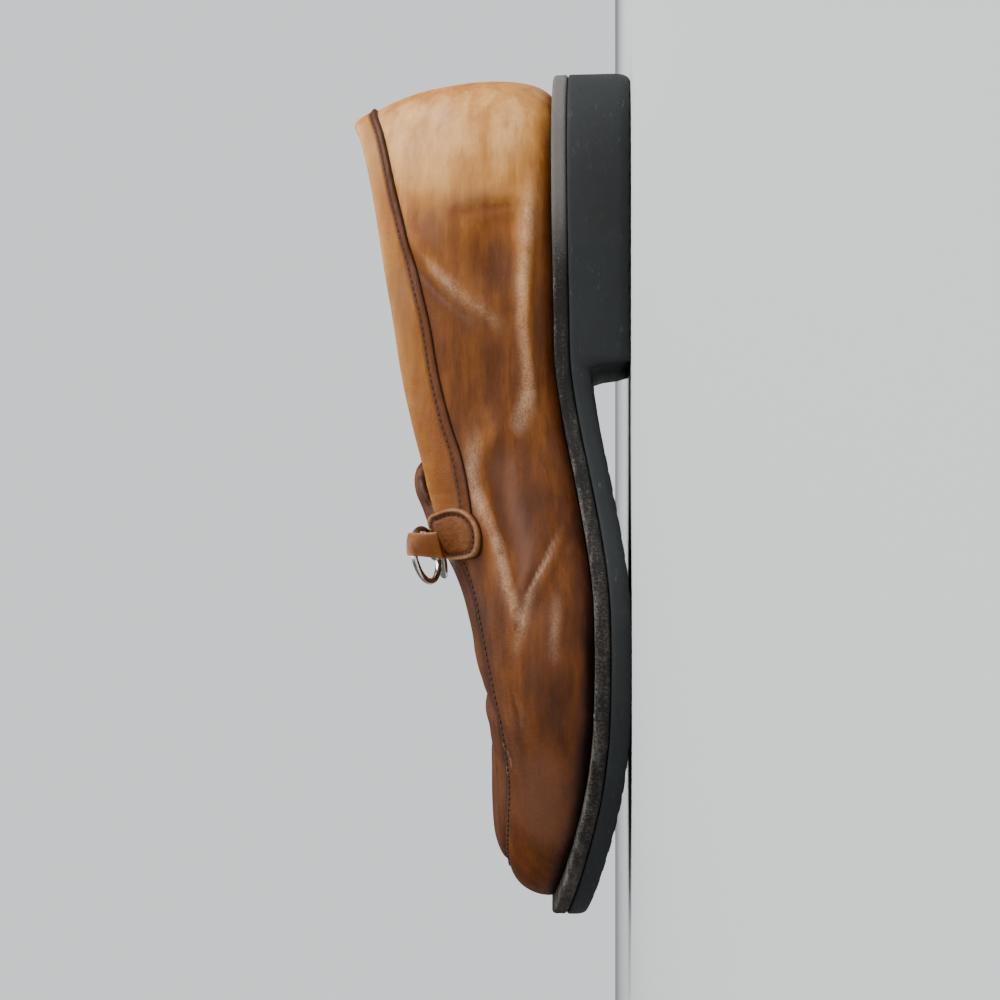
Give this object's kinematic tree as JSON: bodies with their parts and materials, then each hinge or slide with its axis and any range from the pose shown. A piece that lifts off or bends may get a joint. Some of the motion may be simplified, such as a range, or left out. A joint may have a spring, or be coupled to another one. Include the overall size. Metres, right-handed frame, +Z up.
{
  "type": "horsebit loafer",
  "caption": "Slip-on leather loafer, left shoe: hollow moccasin-apron upper with tongue, side straps holding a snaffle bit across the vamp, leather midsole, moulded rubber outsole with heel.",
  "frame": {"origin": "on the floor under the middle of the shoe's box", "axes": "+X from heel to toe, +Y to the outer side of the left foot, +Z up"},
  "size_m": [0.3, 0.106, 0.0997],
  "materials": {
    "rubber": "moulded matt black rubber, lightly scuffed",
    "edge_leather": "dark stained leather edge, worn grey and fuzzy",
    "lining": "matt lining leather",
    "upper_leather": "burnished tan calf with a soft gloss, darker at toe and welt",
    "strap_leather": "burnished tan calf with rolled edges",
    "steel": "polished nickel-plated steel"
  },
  "bodies": {
    "root": {"outsole": "rubber", "midsole": "edge_leather", "insole": "lining", "upper": "upper_leather", "strap_lateral": "strap_leather", "strap_medial": "strap_leather", "bit_ring_lateral": "steel", "bit_ring_medial": "steel", "bit_bar": "steel"}
  },
  "joints": []
}
